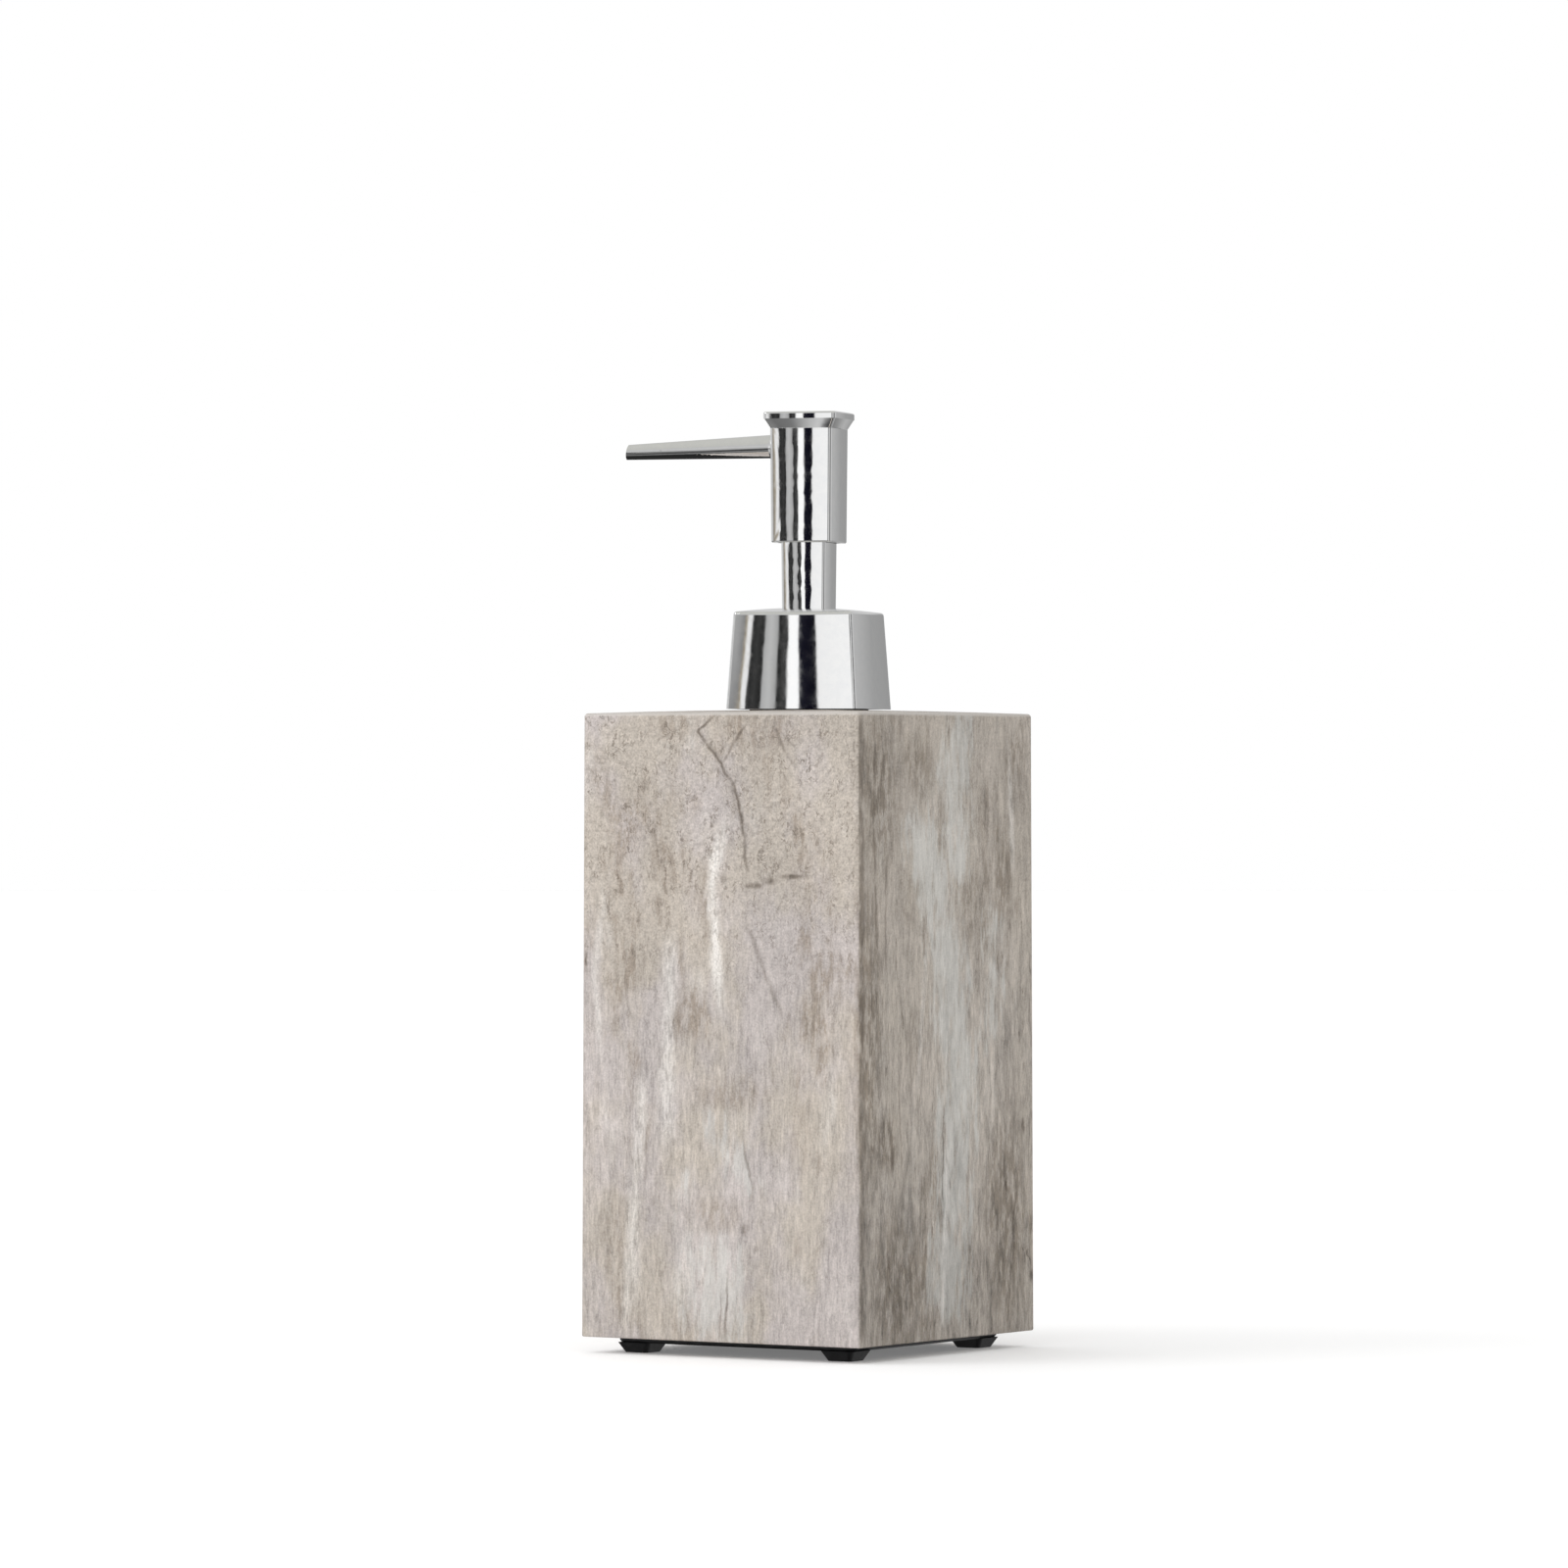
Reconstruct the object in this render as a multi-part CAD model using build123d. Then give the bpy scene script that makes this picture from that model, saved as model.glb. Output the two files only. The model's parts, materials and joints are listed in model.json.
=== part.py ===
from build123d import *
import math
import os

# Square soap pump dispenser. Millimetres, +Z up, z = 0 at the soles of the feet.
# Everything is drawn about the vessel's axis and moved to the row frame when it is written.
AXIS_X = 2.17  # the spout overhangs the vessel, so its axis stands off the centre of the outline
PUMP_YAW = 16.9  # how far the square pump is turned on the square vessel, degrees

# Vessel: cast resin block, slightly drafted, with a pillowed top
VESSEL_Z = 3.5
VESSEL_BOTTOM_W = 71.9
VESSEL_TOP_W = 71.1
RIM_Z = 139.1
CROWN_Z = 139.95
VESSEL_EDGE_R = 0.8
VESSEL_FOOT_R = 0.4
CAVITY_W = 61.6
CAVITY_Z0 = 9.0
CAVITY_Z1 = 134.5
CAVITY_CORNER_R = 5.0
NECK_HOLE_R = 11.2
NECK_SEAT_R = 13.3
NECK_SEAT_Z = 138.8

# Base plate and its four feet
PLATE_W = 61.0
PLATE_Z0 = 2.2
PLATE_Z1 = 4.9
PLATE_CORNER_R = 2.5
PLATE_CHAMFER = 0.5
PLATE_GAP = 0.2
FOOT_C = 26.2
FOOT_TOP_W = 8.4
FOOT_TOP_CORNER_R = 1.2
FOOT_SOLE_W = 5.8
FOOT_SOLE_CORNER_R = 0.8
FOOT_PEG_R = 1.6
FOOT_PEG_TOP = 4.0
FOOT_PEG_SINK = 0.2
FOOT_PEG_GAP = 0.05

# Threaded neck, a 22 mm finish with one and a half turns at 8 turns per inch
NECK_FLANGE_R = 13.2
NECK_FLANGE_Z0 = 138.85
NECK_FLANGE_Z1 = 140.1
NECK_BARREL_R = 10.9
NECK_BARREL_Z0 = 131.0
NECK_BARB_R = 11.15
NECK_BARB_ZS = (134.8, 136.8)
NECK_BARB_HALF_H = 0.8
NECK_CHAMFER = 0.3
NECK_R = 9.8
NECK_BORE_R = 8.4
NECK_TOP_Z = 152.0
THREAD_PITCH = 3.175
THREAD_TURNS = 1.5
THREAD_DEPTH = 1.0
THREAD_ROOT_HALF = 0.70
THREAD_CREST_HALF = 0.35
THREAD_SINK = 0.25
NECK_THREAD_Z = 143.4

# Closure: chromed square collar over a threaded inner cap
COLLAR_Z0 = 140.1
COLLAR_Z1 = 161.1
COLLAR_BOTTOM_W = 31.0
COLLAR_TOP_W = 28.4
COLLAR_BULGE = 0.85
COLLAR_CORNER_R = 1.1
COLLAR_WALL = 1.25
COLLAR_ROOF_Z = 159.3
COLLAR_PEAK_Z = 162.3
COLLAR_EDGE_R = 0.8
CAP_Z0 = 141.3
CAP_Z1 = 156.2
CAP_GAP = 0.12
CAP_BORE_R = 11.05
CAP_SKIRT_TOP = 154.7
CAP_HOLE_R = 7.3
CAP_THREAD_START = 60.0
CAP_THREAD_TURNS = 1.25
CAP_THREAD_ROOT_HALF = 0.62
CAP_THREAD_CREST_HALF = 0.30

# Head: square column, flared cap, spout and the square stem sleeve below it
HEAD_Z0 = 176.5
HEAD_Z1 = 201.4
HEAD_BOTTOM_W = 14.3
HEAD_TOP_W = 14.7
HEAD_BULGE = 0.42
HEAD_CORNER_R = 0.8
HEAD_WALL = 1.4
HEAD_EDGE_R = 0.35
LID_Z0 = 201.45
LID_RIM_Z = 203.5
LID_TOP_Z = 205.0
LID_W = 17.2
LID_FLARE_W = 16.9
LID_BULGE = 0.45
LID_CORNER_R = 0.9
LID_EDGE_R = 0.45
LID_PLUG_W = 11.2
LID_PLUG_Z = 199.0
LID_SINK = 0.3  # how far the lid's layers run into one another
SLEEVE_TOP_W = 10.6
SLEEVE_BOTTOM_W = 10.2
SLEEVE_BULGE = 0.32
SLEEVE_CORNER_R = 0.7
SLEEVE_BORE_R = 3.7
SLEEVE_Z0 = 159.5
SLEEVE_FLANGE_W = 11.1
SLEEVE_FLANGE_Z0 = 177.6
SLEEVE_FLANGE_Z1 = 179.6
SLEEVE_HOLE_GAP = 0.25
CORE_W = 11.2
CORE_Z0 = 179.7
CORE_Z1 = 198.9

# Spout: a tapering tube with a level underside
SPOUT_TIP_X = 41.6
SPOUT_ROOT_X = 5.75
SPOUT_BOSS_X0 = 7.4
SPOUT_BOSS_X1 = 8.5
SPOUT_BOSS_GROW = 0.5
SPOUT_WAIST = 0.42  # height of the widest line, as a share of the tube's height
SPOUT_Z = 195.1
SPOUT_ROOT_H = 5.3
SPOUT_ROOT_HALF_W = 3.0
SPOUT_TIP_H = 3.3
SPOUT_TIP_HALF_W = 1.75
SPOUT_TIP_SLANT = 0.5
SPOUT_BORE_R = 1.25
SPOUT_AXIS_RISE = 1.65
LINER_R = 1.2
LINER_BORE_R = 0.85
LINER_LENGTH = 9.0
LINER_RECESS = 0.8

# Pump: housing with a wide upper chamber for the sleeve and a narrow cylinder for the piston
FLANGE_R = 9.7
FLANGE_Z0 = 153.2
FLANGE_Z1 = 154.4
CHAMBER_R = 8.1
CHAMBER_BORE_R = 7.0
CHAMBER_Z0 = 140.2
CHAMBER_FLOOR_Z = 141.6
CHAMBER_CHAMFER = 0.6
CYL_R = 6.4
CYL_BORE_R = 5.3
CYL_Z0 = 95.0
CYL_END_TAPER = 1.0
SEAT_Z = 96.0
SEAT_BORE_R = 1.9
NIPPLE_R = 4.6
NIPPLE_Z0 = 84.0
SOCKET_R = 3.04
SOCKET_TOP_Z = 94.0
VENT_R = 0.6
VENT_Z = 137.0
GASKET_BORE_R = 8.2
GASKET_GAP = 0.05
CHAPLET_R = 6.95
CHAPLET_Z0 = 139.2
CHAPLET_SHOULDER_Z = 141.65
CHAPLET_Z1 = 145.3
CHAPLET_SKIRT_R = 5.25
CHAPLET_CHAMFER = 0.6
CHAPLET_LEAD = 0.4
ROD_R = 3.1
ROD_BORE_R = 1.6
ROD_Z0 = 124.9
ROD_Z1 = 187.0
ROD_END_GAP = 0.1
ROD_PORT_R = 0.9
ROD_PORT_RISE = 2.0
RUNNING_FIT = 0.05
PISTON_R = 5.25
PISTON_LIP_T = 0.5
PISTON_LIP_H = 1.3
PISTON_LEAD = 0.2
PISTON_CUP_R = 4.0
PISTON_CUP_DEPTH = 1.6
PISTON_WAIST_H = 3.2
PISTON_WAIST_R = 4.6
PISTON_Z0 = 127.1
PISTON_Z1 = 134.1
RETAINER_R = 4.3
RETAINER_Z0 = 124.8
RETAINER_Z1 = 127.0
RETAINER_CHAMFER = 0.3
CAGE_Z0 = 102.4
CAGE_Z1 = 104.6
CAGE_BORE_R = 1.4
CAGE_SLOT_W = 1.6
CAGE_SLOT_LENGTH = 2.2
CAGE_SLOT_X = 2.9
DIP_R = 3.0
DIP_BORE_R = 2.1
DIP_Z0 = 10.5
DIP_BEVEL = 35.0
DIP_Z1 = 93.8
INLET_BALL_R = 2.5
OUTLET_BALL_R = 2.0
BALL_GAP = 0.05
OUTLET_APEX_Z = 184.5  # the point of the 45 degree cone that the outlet ball sits in
OUTLET_SEAT_R = 2.6
OUTLET_CHAMBER_R = 2.4
OUTLET_CHAMBER_Z1 = 192.6
SPRING_MEAN_R = 4.05
SPRING_WIRE_R = 0.4
SPRING_TURNS = 6.0
SPRING_END_GAP = 0.05
JOIN_GAP = 0.03  # between pieces that are pushed or glued together
CLEAR = 1.0  # how far a cutting tool runs past what it cuts


def cylinder(r, z0, z1):
    return Pos(0, 0, z0) * extrude(Circle(r), z1 - z0)


def ring(r_out, r_in, z0, z1):
    return cylinder(r_out, z0, z1) - cylinder(r_in, z0 - CLEAR, z1 + CLEAR)


def turned(points):
    """A solid turned about Z from (radius, z) points."""
    outline = Plane.XZ * make_face(Polyline(*points, close=True))
    return revolve(outline, Axis.Z)


def square_prism(width, corner_r, z0, z1):
    return Pos(0, 0, z0) * extrude(RectangleRounded(width, width, corner_r), z1 - z0)


def crowned_square(width, bulge, corner_r):
    """A square whose four sides bow outwards, measured across the middle of its sides."""
    half = width / 2
    corner = half - bulge
    side = ThreePointArc((-corner, -corner), (0, -half), (corner, -corner))
    outline = make_face([side.rotate(Axis.Z, 90 * quarter) for quarter in range(4)])
    return fillet(outline.vertices(), corner_r) if corner_r else outline


def crowned_column(w0, w1, bulge, corner_r, z0, z1):
    """A tapering upright with crowned sides. A corner_r of 0 leaves its corners sharp."""
    low = Pos(0, 0, z0) * crowned_square(w0, bulge, corner_r)
    high = Pos(0, 0, z1) * crowned_square(w1, bulge, corner_r)
    return loft([low, high], ruled=True)


def pillow(half, rim_z, peak_z, floor_z):
    """The space under a shallow four-sided crown that is level along a square rim."""
    drop = peak_z - rim_z
    radius = (half**2 + drop**2) / (2 * drop)
    reach = half + 2 * CLEAR
    end_z = peak_z - radius + math.sqrt(radius**2 - reach**2)
    top = ThreePointArc((-reach, end_z), (0, peak_z), (reach, end_z))
    rest = Polyline((reach, end_z), (reach, floor_z), (-reach, floor_z), (-reach, end_z))
    prism = extrude(Plane.XZ * make_face([top, rest]), reach, both=True)
    return prism & prism.rotate(Axis.Z, 90)


def thread_ridge(r_root, r_crest, root_half, crest_half, turns):
    """One helical ridge from z = 0, sunk a little into the wall that it stands on."""
    sink = THREAD_SINK if r_crest < r_root else -THREAD_SINK
    path = Helix(THREAD_PITCH, THREAD_PITCH * turns, (r_root + r_crest) / 2)
    mid = (r_root + r_crest) / 2
    points = [
        (r_root + sink - mid, -root_half),
        (r_crest - mid, -crest_half),
        (r_crest - mid, crest_half),
        (r_root + sink - mid, root_half),
    ]
    start = Plane(origin=path @ 0, x_dir=(1, 0, 0), z_dir=path % 0)
    outline = make_face(Polyline(*points, close=True))
    return sweep(start * outline, path, is_frenet=True)


def round_outside(solid, half, low_z, radius):
    """Round the upright corners and rims above low_z that stand further out than half."""

    def on_outside(edge):
        middle = edge @ 0.5
        return max(abs(middle.X), abs(middle.Y)) > half and middle.Z > low_z

    return fillet(solid.edges().filter_by(on_outside), radius)


def vessel():
    low = Pos(0, 0, VESSEL_Z) * Rectangle(VESSEL_BOTTOM_W, VESSEL_BOTTOM_W)
    high = Pos(0, 0, CROWN_Z + CLEAR) * Rectangle(VESSEL_TOP_W, VESSEL_TOP_W)
    block = loft([low, high], ruled=True)
    block &= pillow(VESSEL_TOP_W / 2, RIM_Z, CROWN_Z, 0)
    block = round_outside(block, VESSEL_TOP_W / 2 - CLEAR, VESSEL_Z + CLEAR, VESSEL_EDGE_R)
    block = fillet(block.edges().group_by(Axis.Z)[0], VESSEL_FOOT_R)
    cavity = square_prism(CAVITY_W, CAVITY_CORNER_R, CAVITY_Z0, CAVITY_Z1)
    cavity = fillet(cavity.edges().group_by(Axis.Z)[0], CAVITY_CORNER_R / 2)
    recess = square_prism(PLATE_W + 2 * PLATE_GAP, PLATE_CORNER_R, VESSEL_Z - CLEAR, PLATE_Z1 + PLATE_GAP / 2)
    hole = cylinder(NECK_HOLE_R, CAVITY_Z1 - CLEAR, CROWN_Z + CLEAR)
    seat = cylinder(NECK_SEAT_R, NECK_SEAT_Z, CROWN_Z + CLEAR)
    return block - cavity - recess - hole - seat


def base_plate():
    plate = square_prism(PLATE_W, PLATE_CORNER_R, PLATE_Z0, PLATE_Z1)
    plate = chamfer(plate.edges().group_by(Axis.Z)[0], PLATE_CHAMFER)
    hole = cylinder(FOOT_PEG_R + FOOT_PEG_GAP, PLATE_Z0 - CLEAR, FOOT_PEG_TOP + 2 * FOOT_PEG_GAP)
    for x, y in foot_places():
        plate -= Pos(x, y, 0) * hole
    return plate


def foot_places():
    return [(sx * FOOT_C, sy * FOOT_C) for sy in (-1, 1) for sx in (-1, 1)]


def foot(x, y):
    sole = RectangleRounded(FOOT_SOLE_W, FOOT_SOLE_W, FOOT_SOLE_CORNER_R)
    top = Pos(0, 0, PLATE_Z0) * RectangleRounded(FOOT_TOP_W, FOOT_TOP_W, FOOT_TOP_CORNER_R)
    block = loft([sole, top], ruled=True)
    return Pos(x, y, 0) * (block + cylinder(FOOT_PEG_R, PLATE_Z0 - FOOT_PEG_SINK, FOOT_PEG_TOP))


def neck_insert():
    outline = [
        (NECK_BORE_R, NECK_BARREL_Z0),
        (NECK_BARREL_R - NECK_CHAMFER, NECK_BARREL_Z0),
        (NECK_BARREL_R, NECK_BARREL_Z0 + NECK_CHAMFER),
    ]
    for z in NECK_BARB_ZS:
        outline += [
            (NECK_BARREL_R, z - NECK_BARB_HALF_H),
            (NECK_BARB_R, z),
            (NECK_BARREL_R, z + NECK_BARB_HALF_H),
        ]
    outline += [
        (NECK_BARREL_R, NECK_FLANGE_Z0),
        (NECK_FLANGE_R, NECK_FLANGE_Z0),
        (NECK_FLANGE_R, NECK_FLANGE_Z1 - NECK_CHAMFER),
        (NECK_FLANGE_R - NECK_CHAMFER, NECK_FLANGE_Z1),
        (NECK_R, NECK_FLANGE_Z1),
        (NECK_R, NECK_TOP_Z - NECK_CHAMFER),
        (NECK_R - NECK_CHAMFER, NECK_TOP_Z),
        (NECK_BORE_R, NECK_TOP_Z),
    ]
    body = turned(outline)
    ridge = thread_ridge(NECK_R, NECK_R + THREAD_DEPTH, THREAD_ROOT_HALF, THREAD_CREST_HALF, THREAD_TURNS)
    return body + Pos(0, 0, NECK_THREAD_Z) * ridge


def collar_half(z):
    """Half the collar's outside width at height z."""
    share = (z - COLLAR_Z0) / (COLLAR_Z1 - COLLAR_Z0)
    return (COLLAR_BOTTOM_W + (COLLAR_TOP_W - COLLAR_BOTTOM_W) * share) / 2


def collar_column(inset, corner_r, z0, z1):
    w0 = 2 * (collar_half(z0) - inset)
    w1 = 2 * (collar_half(z1) - inset)
    return crowned_column(w0, w1, COLLAR_BULGE, corner_r, z0, z1)


def collar_shell():
    shell = collar_column(0, 0, COLLAR_Z0, COLLAR_PEAK_Z + CLEAR)
    shell &= pillow(COLLAR_TOP_W / 2, COLLAR_Z1, COLLAR_PEAK_Z, 0)
    shell = round_outside(shell, COLLAR_TOP_W / 2 - 2 * CLEAR, COLLAR_Z0 + CLEAR, COLLAR_EDGE_R)
    shell -= collar_column(COLLAR_WALL, COLLAR_CORNER_R, COLLAR_Z0 - CLEAR, COLLAR_ROOF_Z)
    hole_w = SLEEVE_TOP_W + 2 * SLEEVE_HOLE_GAP
    hole_z = (COLLAR_ROOF_Z - CLEAR, COLLAR_PEAK_Z + CLEAR)
    return shell - crowned_column(hole_w, hole_w, SLEEVE_BULGE, SLEEVE_CORNER_R, *hole_z)


def screw_cap():
    cap = collar_column(COLLAR_WALL + CAP_GAP, COLLAR_CORNER_R, CAP_Z0, CAP_Z1)
    cap -= cylinder(CAP_BORE_R, CAP_Z0 - CLEAR, CAP_SKIRT_TOP)
    cap -= cylinder(CAP_HOLE_R, CAP_SKIRT_TOP - CLEAR, CAP_Z1 + CLEAR)
    crest_r = CAP_BORE_R - THREAD_DEPTH
    ridge = thread_ridge(CAP_BORE_R, crest_r, CAP_THREAD_ROOT_HALF, CAP_THREAD_CREST_HALF, CAP_THREAD_TURNS)
    rise = THREAD_PITCH * (CAP_THREAD_START / 360 - 0.5)
    ridge = Pos(0, 0, NECK_THREAD_Z + rise) * ridge.rotate(Axis.Z, CAP_THREAD_START - PUMP_YAW)
    return cap + ridge


def head_shell():
    shell = crowned_column(HEAD_BOTTOM_W, HEAD_TOP_W, HEAD_BULGE, HEAD_CORNER_R, HEAD_Z0, HEAD_Z1)
    shell = fillet(shell.edges().group_by(Axis.Z)[0], HEAD_EDGE_R)
    inside_w = HEAD_BOTTOM_W - 2 * HEAD_WALL
    shell -= square_prism(inside_w, HEAD_CORNER_R, HEAD_Z0 - CLEAR, HEAD_Z1 + CLEAR)
    return shell - spout_body(SPOUT_ROOT_X - CLEAR, SPOUT_BOSS_X1, JOIN_GAP, JOIN_GAP)


def spout_section(x, grow):
    """The tube's outline at x from the axis, with a flatter underside on the spout's level line."""
    share = (x - SPOUT_ROOT_X) / (SPOUT_TIP_X - SPOUT_ROOT_X)
    height = SPOUT_ROOT_H + (SPOUT_TIP_H - SPOUT_ROOT_H) * share
    half_w = SPOUT_ROOT_HALF_W + (SPOUT_TIP_HALF_W - SPOUT_ROOT_HALF_W) * share + grow
    waist_z = SPOUT_Z + SPOUT_WAIST * height
    lower = ThreePointArc((-half_w, waist_z), (0, SPOUT_Z - grow), (half_w, waist_z))
    upper = ThreePointArc((half_w, waist_z), (0, SPOUT_Z + height + grow), (-half_w, waist_z))
    return Plane(origin=(-x, 0, 0), x_dir=(0, -1, 0), z_dir=(-1, 0, 0)) * make_face([lower, upper])


def spout_body(x0, x1, grow0, grow1):
    return loft([spout_section(x0, grow0), spout_section(x1, grow1)], ruled=True)


def spout_bore(r, x0, x1):
    tool = Cylinder(r, x1 - x0, rotation=(0, 90, 0))
    return Pos(-(x0 + x1) / 2, 0, SPOUT_Z + SPOUT_AXIS_RISE) * tool


def spout():
    body = spout_body(SPOUT_ROOT_X, SPOUT_TIP_X, 0, 0)
    body += spout_body(SPOUT_BOSS_X0, SPOUT_BOSS_X1, SPOUT_BOSS_GROW, 0)
    tip_cut = Pos(-SPOUT_TIP_X - SPOUT_TIP_H, 0, SPOUT_Z) * Box(2 * SPOUT_TIP_H, SPOUT_TIP_X, SPOUT_TIP_X)
    lean = math.degrees(math.atan2(SPOUT_TIP_SLANT, SPOUT_TIP_H))
    body -= tip_cut.rotate(Axis((-SPOUT_TIP_X, 0, SPOUT_Z), (0, 1, 0)), lean)
    return body - spout_bore(SPOUT_BORE_R, SPOUT_ROOT_X - CLEAR, SPOUT_TIP_X + CLEAR)


def nozzle_liner():
    end_x = SPOUT_TIP_X - LINER_RECESS
    liner = spout_bore(LINER_R, end_x - LINER_LENGTH, end_x)
    return liner - spout_bore(LINER_BORE_R, end_x - LINER_LENGTH - CLEAR, end_x + CLEAR)


def top_cap():
    plate = crowned_column(LID_W, LID_W, LID_BULGE, LID_CORNER_R, LID_RIM_Z, LID_TOP_Z)
    flare = crowned_column(HEAD_TOP_W, LID_FLARE_W, HEAD_BULGE, HEAD_CORNER_R, LID_Z0, LID_RIM_Z + JOIN_GAP)
    plate = fillet(plate.edges().group_by(Axis.Z)[-1], LID_EDGE_R)
    plug = square_prism(LID_PLUG_W, HEAD_CORNER_R, LID_PLUG_Z, LID_Z0 + LID_SINK)
    return plate + flare + plug


def stem_sleeve():
    sleeve = crowned_column(
        SLEEVE_BOTTOM_W, SLEEVE_TOP_W, SLEEVE_BULGE, SLEEVE_CORNER_R, SLEEVE_Z0, SLEEVE_FLANGE_Z1
    )
    sleeve += square_prism(SLEEVE_FLANGE_W, HEAD_CORNER_R, SLEEVE_FLANGE_Z0, SLEEVE_FLANGE_Z1)
    return sleeve - cylinder(SLEEVE_BORE_R, SLEEVE_Z0 - CLEAR, SLEEVE_FLANGE_Z1 + CLEAR)


def head_core():
    core = square_prism(CORE_W, HEAD_CORNER_R, CORE_Z0, CORE_Z1)
    core -= cylinder(ROD_R + JOIN_GAP, CORE_Z0 - CLEAR, ROD_Z1 + ROD_END_GAP)
    core -= cylinder(OUTLET_CHAMBER_R, ROD_Z1, OUTLET_CHAMBER_Z1)
    channel_z = SPOUT_Z + SPOUT_AXIS_RISE
    core -= cylinder(ROD_BORE_R, OUTLET_CHAMBER_Z1 - CLEAR, channel_z)
    return core - spout_bore(SPOUT_BORE_R, 0, CORE_W)


def piston_rod():
    rod = ring(ROD_R, ROD_BORE_R, ROD_Z0, ROD_Z1)
    seat_top = OUTLET_APEX_Z + OUTLET_SEAT_R
    rod -= turned([(0, OUTLET_APEX_Z), (OUTLET_SEAT_R, seat_top), (0, seat_top)])
    port = Cylinder(ROD_PORT_R, 4 * ROD_R, rotation=(0, 90, 0))
    return rod - Pos(0, 0, PISTON_Z1 + ROD_PORT_RISE) * port


def outlet_ball():
    return Pos(0, 0, OUTLET_APEX_Z + (OUTLET_BALL_R + BALL_GAP) * math.sqrt(2)) * Sphere(OUTLET_BALL_R)


def piston():
    middle = (PISTON_Z0 + PISTON_Z1) / 2
    cup_z = PISTON_Z1 - PISTON_CUP_DEPTH
    return turned(
        [
            (ROD_R + JOIN_GAP, PISTON_Z0),
            (PISTON_R - PISTON_LIP_T, PISTON_Z0),
            (PISTON_R, PISTON_Z0 + PISTON_LEAD),
            (PISTON_R, PISTON_Z0 + PISTON_LIP_H),
            (PISTON_WAIST_R, middle - PISTON_WAIST_H / 2),
            (PISTON_WAIST_R, middle + PISTON_WAIST_H / 2),
            (PISTON_R, PISTON_Z1 - PISTON_LIP_H),
            (PISTON_R, PISTON_Z1),
            (PISTON_R - PISTON_LIP_T, PISTON_Z1),
            (PISTON_CUP_R, cup_z),
            (ROD_R + JOIN_GAP, cup_z),
        ]
    )


def piston_retainer():
    body = ring(RETAINER_R, ROD_R + JOIN_GAP, RETAINER_Z0, RETAINER_Z1)
    return chamfer(body.edges().group_by(Axis.Z)[0].sort_by(Edge.length)[-1:], RETAINER_CHAMFER)


def pump_housing():
    body = turned(
        [
            (CHAMBER_BORE_R, FLANGE_Z1),
            (FLANGE_R, FLANGE_Z1),
            (FLANGE_R, FLANGE_Z0),
            (CHAMBER_R, FLANGE_Z0),
            (CHAMBER_R, CHAMBER_Z0 + CHAMBER_CHAMFER),
            (CHAMBER_R - CHAMBER_CHAMFER, CHAMBER_Z0),
            (CYL_R, CHAMBER_Z0),
            (CYL_R, CYL_Z0 + CYL_END_TAPER),
            (NIPPLE_R, CYL_Z0 - CYL_END_TAPER),
            (NIPPLE_R, NIPPLE_Z0),
            (SOCKET_R, NIPPLE_Z0),
            (SOCKET_R, SOCKET_TOP_Z),
            (SEAT_BORE_R, SOCKET_TOP_Z),
            (SEAT_BORE_R, SEAT_Z),
            (CYL_BORE_R, SEAT_Z + CYL_BORE_R - SEAT_BORE_R),
            (CYL_BORE_R, CHAMBER_FLOOR_Z),
            (CHAMBER_BORE_R, CHAMBER_FLOOR_Z),
        ]
    )
    vent = Pos(CYL_R, 0, VENT_Z) * Cylinder(VENT_R, 4 * (CYL_R - CYL_BORE_R), rotation=(0, 90, 0))
    return body - vent


def inlet_ball():
    apex_z = SEAT_Z - SEAT_BORE_R
    return Pos(0, 0, apex_z + (INLET_BALL_R + BALL_GAP) * math.sqrt(2)) * Sphere(INLET_BALL_R)


def ball_cage():
    cage = ring(PISTON_R, CAGE_BORE_R, CAGE_Z0, CAGE_Z1)
    slot = Box(CAGE_SLOT_LENGTH, CAGE_SLOT_W, 2 * (CAGE_Z1 - CAGE_Z0))
    slot = Pos(CAGE_SLOT_X, 0, (CAGE_Z0 + CAGE_Z1) / 2) * slot
    for quarter in range(4):
        cage -= slot.rotate(Axis.Z, 90 * quarter)
    return cage


def return_spring():
    z0 = CAGE_Z1 + SPRING_WIRE_R + SPRING_END_GAP
    height = RETAINER_Z0 - CAGE_Z1 - 2 * (SPRING_WIRE_R + SPRING_END_GAP)
    path = Helix(height / SPRING_TURNS, height, SPRING_MEAN_R)
    wire = Plane(origin=path @ 0, z_dir=path % 0) * Circle(SPRING_WIRE_R)
    coil = sweep(wire, path, is_frenet=True)
    return Pos(0, 0, z0) * coil


def chaplet():
    bore_r = ROD_R + RUNNING_FIT
    return turned(
        [
            (bore_r, CHAPLET_Z0),
            (CHAPLET_SKIRT_R, CHAPLET_Z0),
            (CHAPLET_SKIRT_R, CHAPLET_SHOULDER_Z),
            (CHAPLET_R, CHAPLET_SHOULDER_Z),
            (CHAPLET_R, CHAPLET_Z1 - CHAPLET_CHAMFER),
            (CHAPLET_R - CHAPLET_CHAMFER, CHAPLET_Z1),
            (bore_r + CHAPLET_LEAD, CHAPLET_Z1),
            (bore_r, CHAPLET_Z1 - CHAPLET_LEAD),
        ]
    )


def closure_gasket():
    return ring(FLANGE_R, GASKET_BORE_R, NECK_TOP_Z + GASKET_GAP, FLANGE_Z0 - GASKET_GAP)


def dip_tube():
    tube = ring(DIP_R, DIP_BORE_R, DIP_Z0, DIP_Z1)
    bevel = Pos(0, 0, DIP_Z0) * Box(6 * DIP_R, 6 * DIP_R, 2 * DIP_R)
    return tube - bevel.rotate(Axis((0, 0, DIP_Z0), (0, 1, 0)), DIP_BEVEL)


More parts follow.
